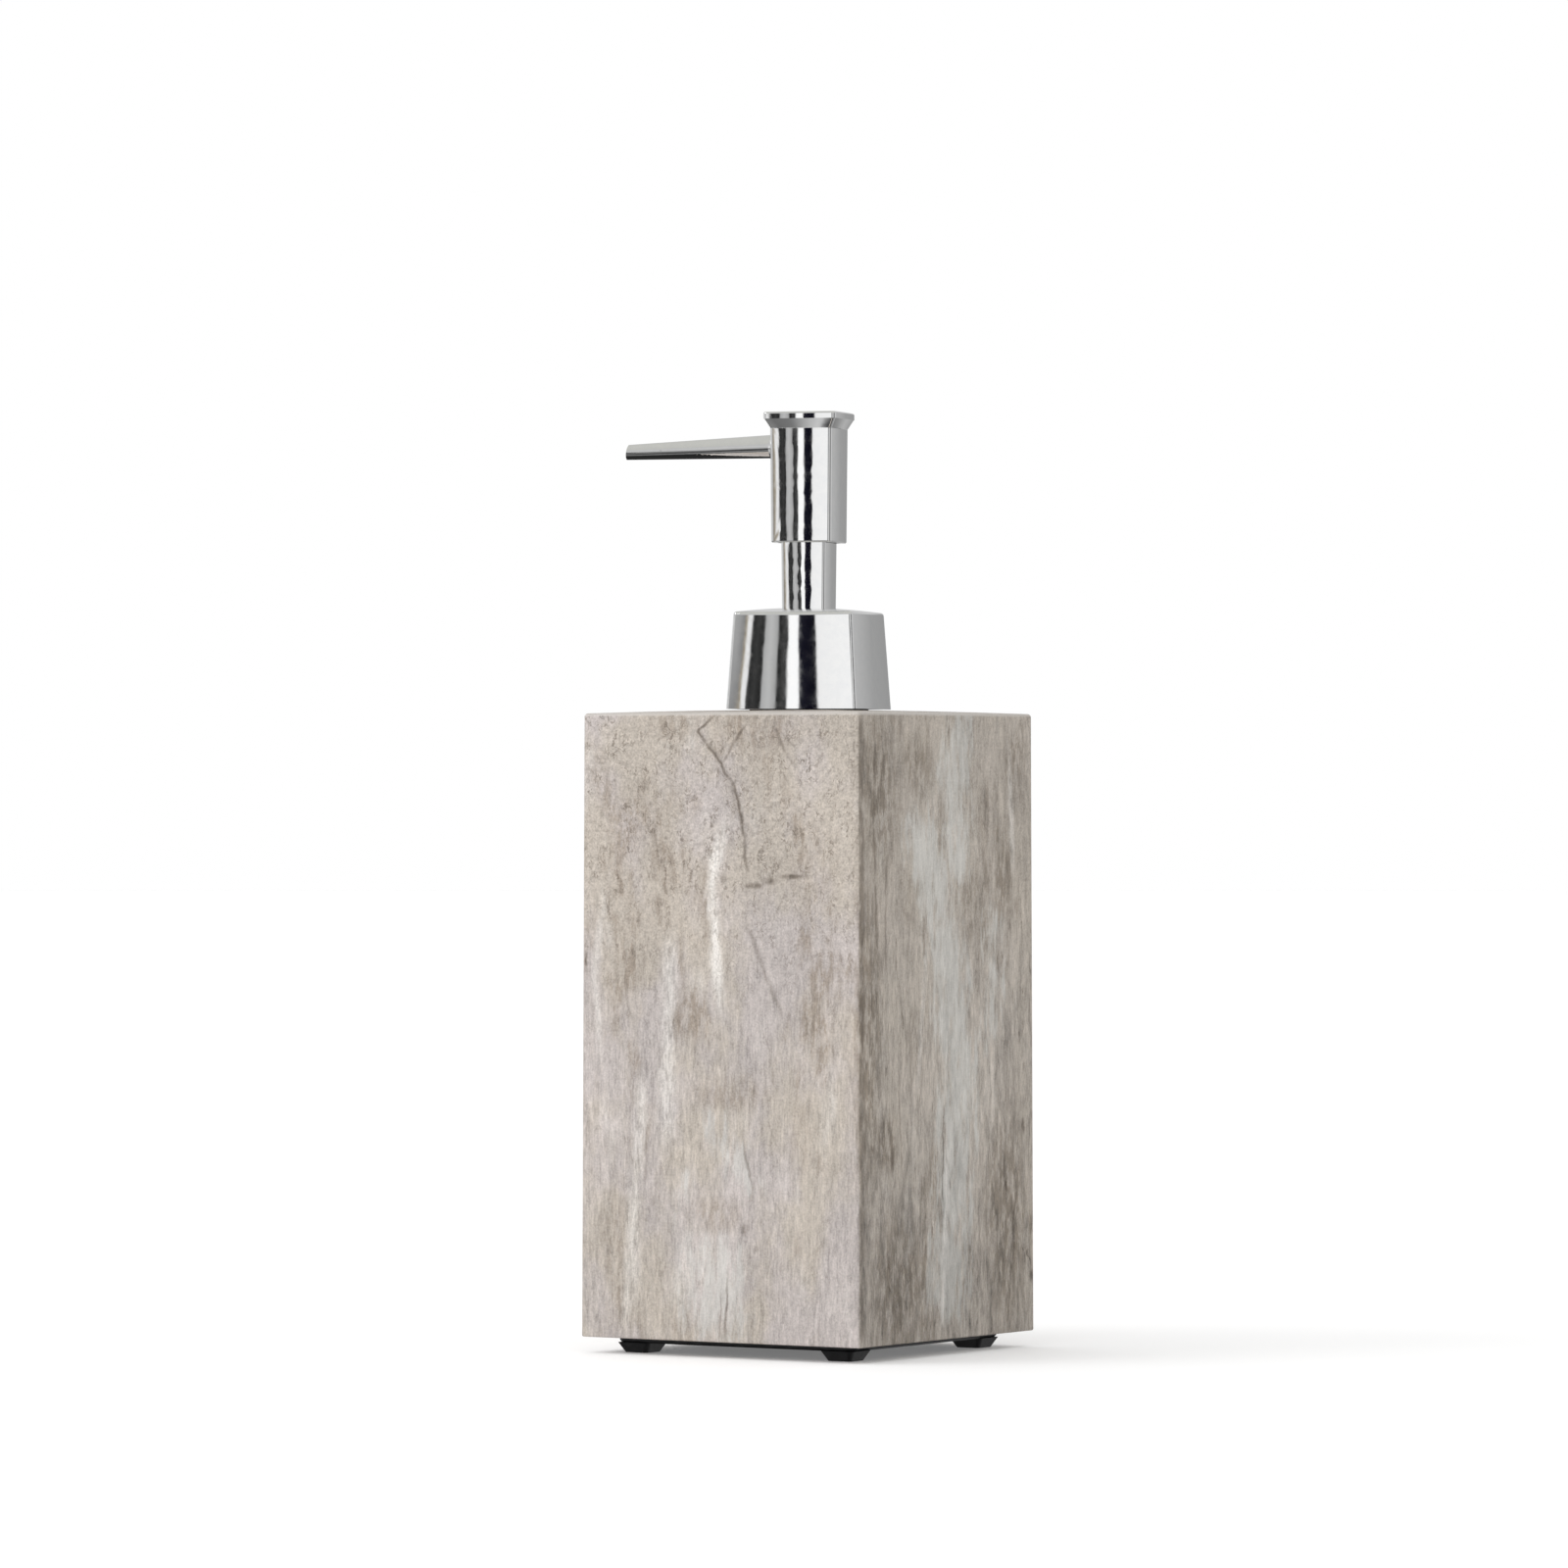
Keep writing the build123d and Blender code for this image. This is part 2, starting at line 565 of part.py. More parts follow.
def save(solid, name, yaw=0.0):
    part = Pos(AXIS_X, 0, 0) * Rot(0, 0, yaw) * solid
    part = part.solids()[0] if len(part.solids()) == 1 else part
    export_step(part, f"parts/{name}.step")
    box = part.bounding_box()
    print(f"{name:18s} solids {len(part.solids())} volume {part.volume:9.1f}", end=" ")
    print(f"x {box.min.X:7.2f} {box.max.X:7.2f} y {box.min.Y:7.2f} {box.max.Y:7.2f}", end=" ")
    print(f"z {box.min.Z:7.2f} {box.max.Z:7.2f}")


def main():
    os.makedirs("parts", exist_ok=True)
    save(vessel(), "vessel")
    save(neck_insert(), "neck_insert")
    save(base_plate(), "base_plate")
    for name, (x, y) in zip(("front_left", "front_right", "back_left", "back_right"), foot_places()):
        save(foot(x, y), f"foot_{name}")
    save(pump_housing(), "pump_housing")
    save(chaplet(), "chaplet")
    save(closure_gasket(), "closure_gasket")
    save(ball_cage(), "ball_cage")
    save(return_spring(), "return_spring")
    save(dip_tube(), "dip_tube")
    save(inlet_ball(), "inlet_ball")
    save(collar_shell(), "collar_shell", PUMP_YAW)
    save(screw_cap(), "screw_cap", PUMP_YAW)
    save(head_shell(), "head_shell", PUMP_YAW)
    save(head_core(), "head_core", PUMP_YAW)
    save(top_cap(), "top_cap", PUMP_YAW)
    save(spout(), "spout", PUMP_YAW)
    save(nozzle_liner(), "nozzle_liner", PUMP_YAW)
    save(stem_sleeve(), "stem_sleeve", PUMP_YAW)
    save(piston_rod(), "piston_rod", PUMP_YAW)
    save(piston(), "piston")
    save(piston_retainer(), "piston_retainer")
    save(outlet_ball(), "outlet_ball")


main()
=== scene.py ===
import json
import math

import bmesh
import bpy
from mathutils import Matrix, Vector


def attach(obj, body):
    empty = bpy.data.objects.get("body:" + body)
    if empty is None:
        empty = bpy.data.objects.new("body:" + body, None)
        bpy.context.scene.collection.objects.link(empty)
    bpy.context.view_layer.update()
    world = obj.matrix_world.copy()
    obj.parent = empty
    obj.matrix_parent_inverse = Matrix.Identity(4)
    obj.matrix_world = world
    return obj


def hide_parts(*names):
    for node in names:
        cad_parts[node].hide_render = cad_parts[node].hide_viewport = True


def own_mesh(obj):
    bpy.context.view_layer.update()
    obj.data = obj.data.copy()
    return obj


MM = 0.001
AXIS_X = 2.17 * MM
VESSEL_HALF = 35.75  # mm, middle of a side to the axis
SIDE = 2 * VESSEL_HALF
HEIGHT = 140.0  # mm, close to the vessel's top

# The camera stands level, at the picture's angle, and aims a little to the right of the axis.
CAMERA_AZIMUTH = math.radians(32.9)
CAMERA_DISTANCE = 1.8485
CAMERA_HEIGHT = 0.12375
CAMERA_ASIDE = -0.00547
CAMERA_LENS = 193.9

LIGHT_LEVEL = 0.88
LIGHT_LEAN = 0.34

SPRING_Z0 = 104.65 * MM
SPRING_Z1 = 124.75 * MM
SPRING_WIRE_R = 0.4 * MM
SPRING_MEAN_R = 4.05 * MM
SPRING_TURNS = 7.0

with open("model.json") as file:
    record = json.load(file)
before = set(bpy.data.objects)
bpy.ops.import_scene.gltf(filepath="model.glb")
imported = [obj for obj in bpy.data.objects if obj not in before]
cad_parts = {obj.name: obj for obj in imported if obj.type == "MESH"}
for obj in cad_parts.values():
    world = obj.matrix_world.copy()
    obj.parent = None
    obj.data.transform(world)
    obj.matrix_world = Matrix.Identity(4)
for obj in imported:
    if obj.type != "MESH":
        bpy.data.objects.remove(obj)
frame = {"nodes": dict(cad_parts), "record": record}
bpy.context.view_layer.update()


class Graph:
    """Short names for the shader nodes that the looks below are made of."""

    def __init__(self, tree):
        self.tree = tree
        tree.nodes.clear()

    def node(self, kind, **settings):
        made = self.tree.nodes.new("ShaderNode" + kind)
        for name, value in settings.items():
            setattr(made, name, value)
        return made

    def feed(self, socket, value):
        if isinstance(value, bpy.types.NodeSocket):
            self.tree.links.new(value, socket)
        else:
            socket.default_value = value

    def math(self, operation, *values, clamp=False):
        made = self.node("Math", operation=operation, use_clamp=clamp)
        for socket, value in zip(made.inputs, values):
            self.feed(socket, value)
        return made.outputs[0]

    def scaled(self, vector, x, y, z):
        made = self.node("VectorMath", operation="MULTIPLY")
        self.feed(made.inputs[0], vector)
        made.inputs[1].default_value = (x, y, z)
        return made.outputs[0]

    def moved(self, vector, x, y, z):
        made = self.node("VectorMath", operation="ADD")
        self.feed(made.inputs[0], vector)
        made.inputs[1].default_value = (x, y, z)
        return made.outputs[0]

    def parts(self, vector):
        made = self.node("SeparateXYZ")
        self.feed(made.inputs[0], vector)
        return made.outputs

    def joined(self, x, y, z):
        made = self.node("CombineXYZ")
        for socket, value in zip(made.inputs, (x, y, z)):
            self.feed(socket, value)
        return made.outputs[0]

    def step(self, value, start, end, low=0.0, high=1.0):
        """A soft step from low at start to high at end."""
        made = self.node("MapRange", interpolation_type="SMOOTHSTEP")
        for socket, number in zip(made.inputs, (value, start, end, low, high)):
            self.feed(socket, number)
        return made.outputs[0]

    def between(self, share, a, b):
        made = self.node("Mix", data_type="FLOAT")
        self.feed(made.inputs[0], share)
        self.feed(made.inputs[2], a)
        self.feed(made.inputs[3], b)
        return made.outputs[0]

    def between_vectors(self, share, a, b):
        made = self.node("Mix", data_type="VECTOR")
        self.feed(made.inputs[0], share)
        self.feed(made.inputs[4], a)
        self.feed(made.inputs[5], b)
        return made.outputs[1]

    def tint(self, share, a, b, blend="MIX"):
        made = self.node("Mix", data_type="RGBA", blend_type=blend)
        self.feed(made.inputs[0], share)
        self.feed(made.inputs[6], a)
        self.feed(made.inputs[7], b)
        return made.outputs[2]

    def noise(self, vector, scale, detail=2.0, roughness=0.5, distortion=0.0):
        made = self.node("TexNoise")
        self.feed(made.inputs["Vector"], vector)
        made.inputs["Scale"].default_value = scale
        made.inputs["Detail"].default_value = detail
        made.inputs["Roughness"].default_value = roughness
        made.inputs["Distortion"].default_value = distortion
        return made.outputs["Fac"]

    def ramp(self, value, stops):
        made = self.node("ValToRGB")
        self.feed(made.inputs[0], value)
        elements = made.color_ramp.elements
        while len(elements) < len(stops):
            elements.new(1.0)
        for element, (place, colour) in zip(elements, stops):
            element.position = place
            element.color = colour
        return made.outputs[0]

    def curve(self, value, points, bent=False):
        """A line through (value, height) points, both from 0 to 1."""
        made = self.node("FloatCurve")
        self.feed(made.inputs["Value"], value)
        line = made.mapping.curves[0]
        for _ in points[2:]:
            line.points.new(0.5, 0.5)
        for point, place in zip(line.points, sorted(points)):
            point.location = place
            point.handle_type = "AUTO_CLAMPED" if bent else "VECTOR"
        made.mapping.update()
        return made.outputs[0]

    def bump(self, height, distance, strength):
        made = self.node("Bump")
        made.inputs["Strength"].default_value = strength
        made.inputs["Distance"].default_value = distance
        self.feed(made.inputs["Height"], height)
        return made.outputs[0]

    def surface(self, **inputs):
        """The material's shader. Each name is an input, with _ for a space."""
        shader = self.node("BsdfPrincipled")
        for name, value in inputs.items():
            self.feed(shader.inputs[name.replace("_", " ")], value)
        out = self.node("OutputMaterial")
        self.tree.links.new(shader.outputs[0], out.inputs[0])
        return shader


def grey(level, alpha=1.0):
    return (level, level, level, alpha)


def new_material(name):
    material = bpy.data.materials.new(name)
    material.use_nodes = True
    return material, Graph(material.node_tree)


def object_mm(g):
    """The place on the piece in millimetres, about the pump's axis."""
    place = g.node("TexCoord").outputs["Object"]
    return g.moved(g.scaled(place, 1000, 1000, 1000), -AXIS_X / MM, 0, 0)


# ---------------------------------------------------------------- printed stone and driftwood


class Print:
    """The picture printed on the vessel, drawn in s, mm round it from the middle of the front, and z, mm up.
    The right face is s 36 to 107, the back 107 to 179 and the left face 179 to 250."""

    def __init__(self, g):
        self.g = g
        place = object_mm(g)
        x, y, self.z = g.parts(place)
        on_side = g.math("GREATER_THAN", g.math("ABSOLUTE", x), g.math("ABSOLUTE", y))
        behind = g.math("GREATER_THAN", y, 0.0)
        leftward = g.math("LESS_THAN", x, 0.0)
        front_back = g.between(behind, x, g.math("SUBTRACT", 2 * SIDE, x))
        right_left = g.between(leftward, g.math("ADD", y, SIDE), g.math("SUBTRACT", 3 * SIDE, y))
        self.s = g.between(on_side, front_back, right_left)
        self.top = g.step(self.z, 138.7, 139.1)
        side_place = g.joined(self.s, 0.0, self.z)
        self.place = g.between_vectors(self.top, side_place, place)
        wobble = g.noise(g.scaled(self.place, 1, 1, 0.6), 0.22, 4, 0.65)
        self.waved_s = g.math("MULTIPLY_ADD", g.math("SUBTRACT", wobble, 0.5), 3.2, self.s)

    def lengthwise(self, scale, stretch, detail=3.0, roughness=0.55, offset=0.0, distortion=0.0):
        """Noise that is drawn out along the grain."""
        place = self.g.moved(self.g.scaled(self.place, 1, 1, 1 / stretch), offset, offset, offset)
        return self.g.noise(place, scale, detail, roughness, distortion)

    def streak(self, points, width, fade=2.5):
        """A mark that follows (z, s) points, width mm to each side."""
        g = self.g
        share = g.math("DIVIDE", self.z, HEIGHT)
        line = g.curve(share, [(z / HEIGHT, (s + VESSEL_HALF) / (4 * SIDE)) for z, s in points])
        centre = g.math("MULTIPLY_ADD", line, 4 * SIDE, -VESSEL_HALF)
        off = g.math("ABSOLUTE", g.math("SUBTRACT", self.waved_s, centre))
        low = min(z for z, _ in points)
        high = max(z for z, _ in points)
        ends = g.math("MULTIPLY", g.step(self.z, low - fade, low + fade), g.step(self.z, high + fade, high - fade))
        return g.math("MULTIPLY", g.step(off, width, 0.0), ends)

    def spot(self, z, s, half_h, half_w, soft=0.2):
        g = self.g
        across = g.math("DIVIDE", g.math("SUBTRACT", self.waved_s, s), half_w)
        along = g.math("DIVIDE", g.math("SUBTRACT", self.z, z), half_h)
        away = g.math("SQRT", g.math("ADD", g.math("MULTIPLY", across, across), g.math("MULTIPLY", along, along)))
        return g.step(away, 1.0, soft)

    def gathered(self, masks):
        """The strongest of several (mask, strength) pairs. They come one at a time, since the renderer
        keeps every value that waits, and has little room for them."""
        total = None
        for mask, strength in masks:
            part = self.g.math("MULTIPLY", mask, strength)
            total = part if total is None else self.g.math("MAXIMUM", total, part)
        return total


RIGHT = SIDE  # s at the middle of each face
BACK = 2 * SIDE
LEFT = 3 * SIDE

CRACKS = [
    # points (z, s), width, strength
    ([(138.5, -1.1), (135.2, -5.6), (127.8, 0.6), (122.5, 3.9), (116.4, 5.7), (105.6, 7.2)], 1.0, 0.85),
    ([(134.0, -4.0), (126.0, 1.8), (117.0, 5.2)], 1.8, 0.35),
    ([(137.4, 7.2), (128.6, 1.1)], 0.8, 0.65),
    ([(137.0, 13.0), (130.0, 17.5)], 1.0, 0.55),
    ([(93.4, 7.4), (74.6, 15.6)], 1.2, 0.45),
    ([(47.5, 6.2), (37.5, 8.4)], 0.7, 0.55),
    ([(18.5, 2.4), (5.5, 1.7)], 0.6, 0.75),
    ([(14.0, 0.4), (5.0, 0.2)], 0.4, 0.45),
    ([(138.0, RIGHT - 34.9), (70.0, RIGHT - 34.6), (5.0, RIGHT - 34.8)], 2.4, 0.60),
    ([(136.0, RIGHT - 29.0), (112.0, RIGHT - 29.8), (86.0, RIGHT - 28.5)], 0.9, 0.6),
    ([(108.0, RIGHT - 24.8), (84.0, RIGHT - 25.4)], 0.8, 0.5),
    ([(31.3, RIGHT + 27.6), (5.7, RIGHT + 24.4)], 0.7, 0.75),
    ([(54.0, RIGHT - 1.6), (34.0, RIGHT - 2.4)], 0.5, 0.65),
    ([(62.0, RIGHT - 20.0), (41.0, RIGHT - 18.8)], 0.6, 0.5),
    ([(131.0, BACK - 12.0), (104.0, BACK - 7.0), (63.0, BACK - 14.0)], 0.8, 0.7),
    ([(52.0, BACK + 18.0), (9.0, BACK + 21.0)], 0.7, 0.6),
    ([(137.0, LEFT - 20.0), (120.0, LEFT - 24.0), (95.0, LEFT - 18.0)], 0.9, 0.65),
    ([(70.0, LEFT + 12.0), (24.0, LEFT + 16.0)], 0.7, 0.6),
]
KNOTS = [
    # z, s, half height, half width, strength
    (101.9, 8.6, 1.0, 3.0, 0.80),
    (103.0, 12.6, 1.3, 3.2, 0.75),
    (103.9, 18.6, 0.9, 5.0, 0.80),
    (103.3, 1.1, 1.6, 1.3, 0.45),
    (85.8, -34.6, 2.4, 0.8, 0.9),
    (28.0, 6.7, 2.0, 1.2, 0.6),
    (24.0, 9.5, 1.3, 1.6, 0.35),
    (46.5, -12.0, 1.4, 1.2, 0.35),
    (48.9, RIGHT + 31.0, 2.6, 1.0, 0.8),
    (15.9, RIGHT + 35.0, 2.0, 1.6, 0.85),
    (50.4, RIGHT - 27.3, 4.5, 1.4, 0.6),
    (43.1, RIGHT - 22.9, 4.0, 1.5, 0.75),
    (88.0, BACK + 20.0, 2.4, 1.4, 0.7),
    (34.0, BACK - 2.0, 2.0, 2.4, 0.5),
    (60.0, LEFT + 5.0, 2.8, 1.5, 0.7),
    (112.0, LEFT + 22.0, 2.0, 2.8, 0.5),
]
SMUDGES = [
    # broad brown patches: z, s, half height, half width, strength
    (137.0, -12.0, 6.0, 10.0, 0.55),
    (136.0, 13.0, 6.5, 9.0, 0.65),
    (120.0, -6.1, 4.0, 2.6, 0.45),
    (107.0, -28.5, 4.5, 4.0, 0.45),
    (106.0, 24.0, 14.0, 9.0, 0.35),
    (57.0, 3.0, 5.5, 13.0, 0.55),
    (31.0, -1.0, 6.0, 11.0, 0.50),
    (50.0, 21.0, 20.0, 5.0, 0.35),
    (24.0, -27.0, 18.0, 6.0, 0.40),
    (122.0, RIGHT - 28.0, 26.0, 12.0, 0.85),
    (128.0, RIGHT - 12.0, 9.0, 10.0, 0.80),
    (72.0, RIGHT - 32.0, 54.0, 9.0, 0.85),
    (47.0, RIGHT - 25.0, 10.0, 7.0, 0.95),
    (16.0, RIGHT - 20.0, 26.0, 17.0, 0.90),
    (103.0, RIGHT + 23.0, 16.0, 8.0, 0.80),
    (128.0, RIGHT + 28.0, 14.0, 8.0, 0.65),
    (28.0, RIGHT + 24.0, 38.0, 14.0, 0.90),
    (66.0, RIGHT - 14.0, 16.0, 6.0, 0.40),
    (110.0, BACK - 24.0, 26.0, 9.0, 0.70),
    (40.0, BACK + 25.0, 30.0, 8.0, 0.70),
    (60.0, BACK - 28.0, 40.0, 6.0, 0.60),
    (118.0, LEFT + 14.0, 12.0, 14.0, 0.55),
    (52.0, LEFT - 12.0, 8.0, 13.0, 0.55),
]
WHITES = [
    # points (z, s), width, strength
    ([(113.6, 0.6), (108.0, -0.9), (101.4, -2.1), (88.5, -1.1), (76.0, 0.2)], 2.5, 0.90),
    ([(114.4, 1.0), (111.5, -6.0)], 1.6, 0.45),
    ([(89.4, -12.8), (78.0, -13.0), (47.5, -13.6)], 3.4, 0.65),
    ([(60.0, -19.8), (37.5, -21.6), (9.0, -23.4)], 2.8, 0.55),
    ([(97.0, -30.5), (84.0, -32.5), (66.0, -31.0)], 1.6, 0.40),
    ([(127.0, RIGHT + 26.0), (106.0, RIGHT + 27.4)], 1.6, 0.45),
    ([(85.0, RIGHT - 9.0), (60.0, RIGHT - 12.4)], 1.3, 0.40),
    ([(46.0, RIGHT - 0.4), (8.0, RIGHT - 2.2)], 2.0, 0.45),
    ([(118.0, BACK + 10.0), (84.0, BACK + 7.0), (40.0, BACK + 9.0)], 1.9, 0.6),
    ([(100.0, LEFT - 5.0), (62.0, LEFT - 9.0)], 1.8, 0.6),
]
PALES = [
    # points (z, s), width, strength
    ([(139.0, RIGHT + 5.0), (121.0, RIGHT + 3.0), (104.0, RIGHT + 4.0)], 11.0, 0.75),
    ([(118.0, RIGHT - 12.0), (104.0, RIGHT - 7.0), (93.0, RIGHT - 1.5), (73.0, RIGHT + 2.5), (53.0, RIGHT + 4.5),
      (39.0, RIGHT + 2.5), (8.0, RIGHT - 0.5)], 12.5, 0.95),
    ([(96.0, RIGHT + 18.0), (80.0, RIGHT + 20.0), (66.0, RIGHT + 16.0)], 8.0, 0.45),
    ([(52.0, 0.0), (43.0, 4.0), (37.0, 8.0)], 8.0, 0.60),
    ([(25.0, -1.5), (4.0, -0.5)], 13.0, 0.80),
    ([(40.0, -8.0), (28.0, -12.0)], 4.0, 0.35),
    ([(136.0, BACK - 20.0), (90.0, BACK - 23.0), (20.0, BACK - 19.0)], 6.0, 0.8),
    ([(139.0, LEFT - 8.0), (80.0, LEFT - 2.0), (5.0, LEFT - 7.0)], 8.0, 0.8),
]


def printed_resin():
    material, g = new_material("printed_resin")
    p = Print(g)
    upper = g.step(p.z, 64.0, 112.0)  # stone above, wood below
    on_right = g.math("MULTIPLY", g.step(p.s, 35.4, 36.1), g.step(p.s, 107.6, 106.9))
    on_back = g.math("MULTIPLY", g.step(p.s, 142.6, 143.4), g.step(p.s, 179.1, 178.4))
    # The right and back faces, which turn away from the light. On them the colours and the level are painted shade,
    # darker than on the other faces, and the grain and marks differ too.
    right_back_shade_and_grain = g.math("MAXIMUM", on_right, on_back)
    wood = g.math("MAXIMUM", g.between(upper, 0.70, 0.12), g.math("MULTIPLY", on_right, g.between(upper, 0.92, 0.60)))

    warm = (0.466, 0.416, 0.364, 1)
    mauve = (0.480, 0.434, 0.416, 1)
    tan = (0.295, 0.243, 0.196, 1)
    # Painted shade: a darker copy of tan for the stains on the right and back faces.
    shaded_tan = (0.215, 0.180, 0.142, 1)
    # Painted shade: a darker copy of warm for the right and back faces.
    shaded = (0.398, 0.356, 0.308, 1)
    pale = (0.580, 0.545, 0.510, 1)
    cool = (0.550, 0.530, 0.504, 1)
    # Painted shade: a darker copy of cool for the pale bands on the right and back faces.
    cool_dim = (0.515, 0.502, 0.472, 1)
    white = (0.700, 0.668, 0.632, 1)
    crack = (0.120, 0.094, 0.070, 1)

    clouds = p.lengthwise(0.050, 1.8, 4, 0.6, 3.0)
    pinkness = g.math("MULTIPLY_ADD", upper, -0.07, clouds)
    colour = g.tint(g.step(pinkness, 0.36, 0.56), warm, mauve)
    # Painted shade: the right and back faces take the darker shaded colour.
    colour = g.tint(g.math("MULTIPLY", right_back_shade_and_grain, 0.85), colour, shaded)

    breakup = p.lengthwise(0.60, 3.5, 5, 0.72, 7.0)
    stains = p.lengthwise(0.085, 2.6, 5, 0.62, 17.0)
    smudges = p.gathered((p.spot(z, s, h, w, 0.15), strength) for z, s, h, w, strength in SMUDGES)
    stain = g.math("MAXIMUM", smudges, g.step(stains, 0.50, 0.68, 0.0, 0.75))
    stain = g.math("MULTIPLY", stain, g.step(breakup, 0.40, 0.58, 0.25, 1.25), clamp=True)
    washes = p.lengthwise(0.095, 4.0, 4, 0.6, 31.0)
    colour = g.tint(g.step(washes, 0.54, 0.74, 0.0, g.between(right_back_shade_and_grain, 0.75, 0.40)), colour, pale)
    # The stains are tan. On the right and back faces their colour is darker: painted shade.
    colour = g.tint(g.math("MULTIPLY", stain, 0.90), colour, g.tint(right_back_shade_and_grain, tan, shaded_tan))

    pales = p.gathered((p.streak(points, width, 5.0), strength) for points, width, strength in PALES)
    edges = p.lengthwise(0.45, 5.0, 5, 0.68, 91.0)
    ragged = g.math("MULTIPLY", g.math("SUBTRACT", edges, 0.5), g.step(pales, 0.0, 0.2, 0.0, 4.2))
    pales = g.step(g.math("ADD", ragged, pales), 0.05, 0.95)
    # The pale bands are darker on the right and back faces: painted shade.
    colour = g.tint(g.math("MULTIPLY", pales, 0.85), colour, g.tint(right_back_shade_and_grain, cool, cool_dim))

    # Grain: sand on the stone, fibres along the wood, each in a coarse and a fine size.
    sand = g.noise(p.place, 0.80, 4, 0.64)
    dust = g.step(g.noise(p.place, 2.1, 2, 0.6), 0.34, 0.66, -0.13, 0.13)
    fibre = p.lengthwise(0.80, 5.0, 4, 0.70, 43.0, 0.5)
    strand = p.lengthwise(0.30, 5.0, 3, 0.60, 83.0, 0.8)
    hair = g.step(p.lengthwise(2.3, 6.0, 2, 0.6, 53.0), 0.34, 0.66, -0.12, 0.12)
    stone_level = g.math("MULTIPLY_ADD", g.math("SUBTRACT", sand, 0.5), 1.25, dust)
    wood_level = g.math("MULTIPLY_ADD", g.math("SUBTRACT", fibre, 0.5), 1.45, hair)
    wood_level = g.math("MULTIPLY_ADD", g.math("SUBTRACT", strand, 0.5), g.between(right_back_shade_and_grain, 0.35, 0.95), wood_level)
    wood_level = g.math("MULTIPLY_ADD", dust, 0.5, wood_level)
    grain = g.between(wood, stone_level, wood_level)
    calm = g.step(pales, 0.0, 1.0, 1.0, 0.62)
    broad = g.step(p.lengthwise(0.040, 1.7, 2, 0.5, 23.0), 0.36, 0.64, 0.935, 1.075)
    # Painted shade: on the right and back faces the level falls towards the bottom.
    broad = g.math("MULTIPLY", broad, g.between(right_back_shade_and_grain, 1.0, g.step(p.z, 10.0, 65.0, 0.83, 1.0)))
    level = g.math("MULTIPLY_ADD", grain, calm, broad)

    # Small marks: curled scratches and pits in the stone, dark slivers in the wood.
    swirl = g.noise(g.scaled(p.place, 1, 1, 0.7), 0.42, 3, 0.6, 1.2)
    curls = g.step(g.math("ABSOLUTE", g.math("SUBTRACT", swirl, 0.5)), 0.042, 0.006)
    where = g.noise(p.place, 0.20, 4, 0.65)
    curls = g.math("MULTIPLY", curls, g.step(where, 0.44, 0.60, 0.10, 0.75))
    curls = g.math("MULTIPLY", curls, g.step(breakup, 0.42, 0.54, 0.25, 1.0))
    pits = g.step(g.noise(g.scaled(p.place, 1, 1, 0.7), 0.75, 3, 0.7), 0.55, 0.64, 0.0, 0.72)
    pits = g.math("MULTIPLY", pits, g.step(where, 0.42, 0.58, 0.35, 1.0))
    stone_marks = g.math("MULTIPLY", g.math("MAXIMUM", curls, pits), g.math("SUBTRACT", 1.0, wood))
    slivers = g.step(p.lengthwise(0.52, 4.0, 5, 0.74, 61.0, 0.6), 0.56, 0.68)
    patchy = p.lengthwise(0.10, 2.0, 2, 0.5, 71.0)
    patchy = g.math("MULTIPLY_ADD", stain, 0.12, patchy)
    sliver_gain = g.math("MULTIPLY", g.step(patchy, 0.44, 0.60, 0.18, 0.85), g.between(right_back_shade_and_grain, 0.60, 1.0))
    wood_marks = g.math("MULTIPLY", g.math("MULTIPLY", slivers, sliver_gain), wood)
    small = g.math("MAXIMUM", stone_marks, wood_marks)
    small = g.math("MULTIPLY", small, g.step(pales, 0.0, 1.0, 1.0, 0.15))

    cracks = p.gathered((p.streak(points, width), strength) for points, width, strength in CRACKS)
    knots = p.gathered((p.spot(z, s, h, w), strength) for z, s, h, w, strength in KNOTS)
    marks = g.math("MAXIMUM", cracks, knots)
    marks = g.math("MULTIPLY", marks, g.step(breakup, 0.32, 0.58, 0.40, 1.0))
    marks = g.math("MAXIMUM", marks, small)
    marks = g.math("MULTIPLY", marks, g.math("SUBTRACT", 1.0, p.top))

    whites = p.gathered((p.streak(points, width, 6.0), strength) for points, width, strength in WHITES)
    whites = g.math("MULTIPLY", whites, g.step(fibre, 0.34, 0.56, 0.40, 1.0))
    colour = g.tint(whites, colour, white)
    colour = g.tint(marks, colour, crack)
    shade = g.node("CombineColor")
    for socket in shade.inputs:
        g.feed(socket, level)
    colour = g.tint(1.0, colour, shade.outputs[0], "MULTIPLY")

    # Painted highlight: a pale band along the rounded top edge of the vessel.
    rim_highlight = g.math("MULTIPLY", g.step(p.z, 138.3, 138.9), g.step(p.z, 139.6, 139.1))
    colour = g.tint(g.math("MULTIPLY", rim_highlight, 0.55), colour, white)

    # Only the grain stands in relief: the marks are printed.
    height = g.between(wood, stone_level, wood_level)
    g.surface(
        Base_Color=colour,
        Roughness=g.step(sand, 0.2, 0.8, 0.46, 0.64),
        Specular_IOR_Level=0.35,
        Normal=g.bump(height, 0.15 * MM, 0.5),
    )
    return material


# ---------------------------------------------------------------- the other materials


def chrome():
    material, g = new_material("chrome")
    place = object_mm(g)
    ripple = g.noise(place, 0.16, 2, 0.4)
    haze = g.noise(place, 0.5, 5, 0.65)
    tone = g.tint(g.step(haze, 0.3, 0.7), (0.86, 0.865, 0.87, 1), (0.90, 0.90, 0.895, 1))
    g.surface(
        Base_Color=tone,
        Metallic=1.0,
        Roughness=g.step(haze, 0.35, 0.75, 0.025, 0.060),
        Normal=g.bump(ripple, 0.02 * MM, 0.35),
    )
    return material


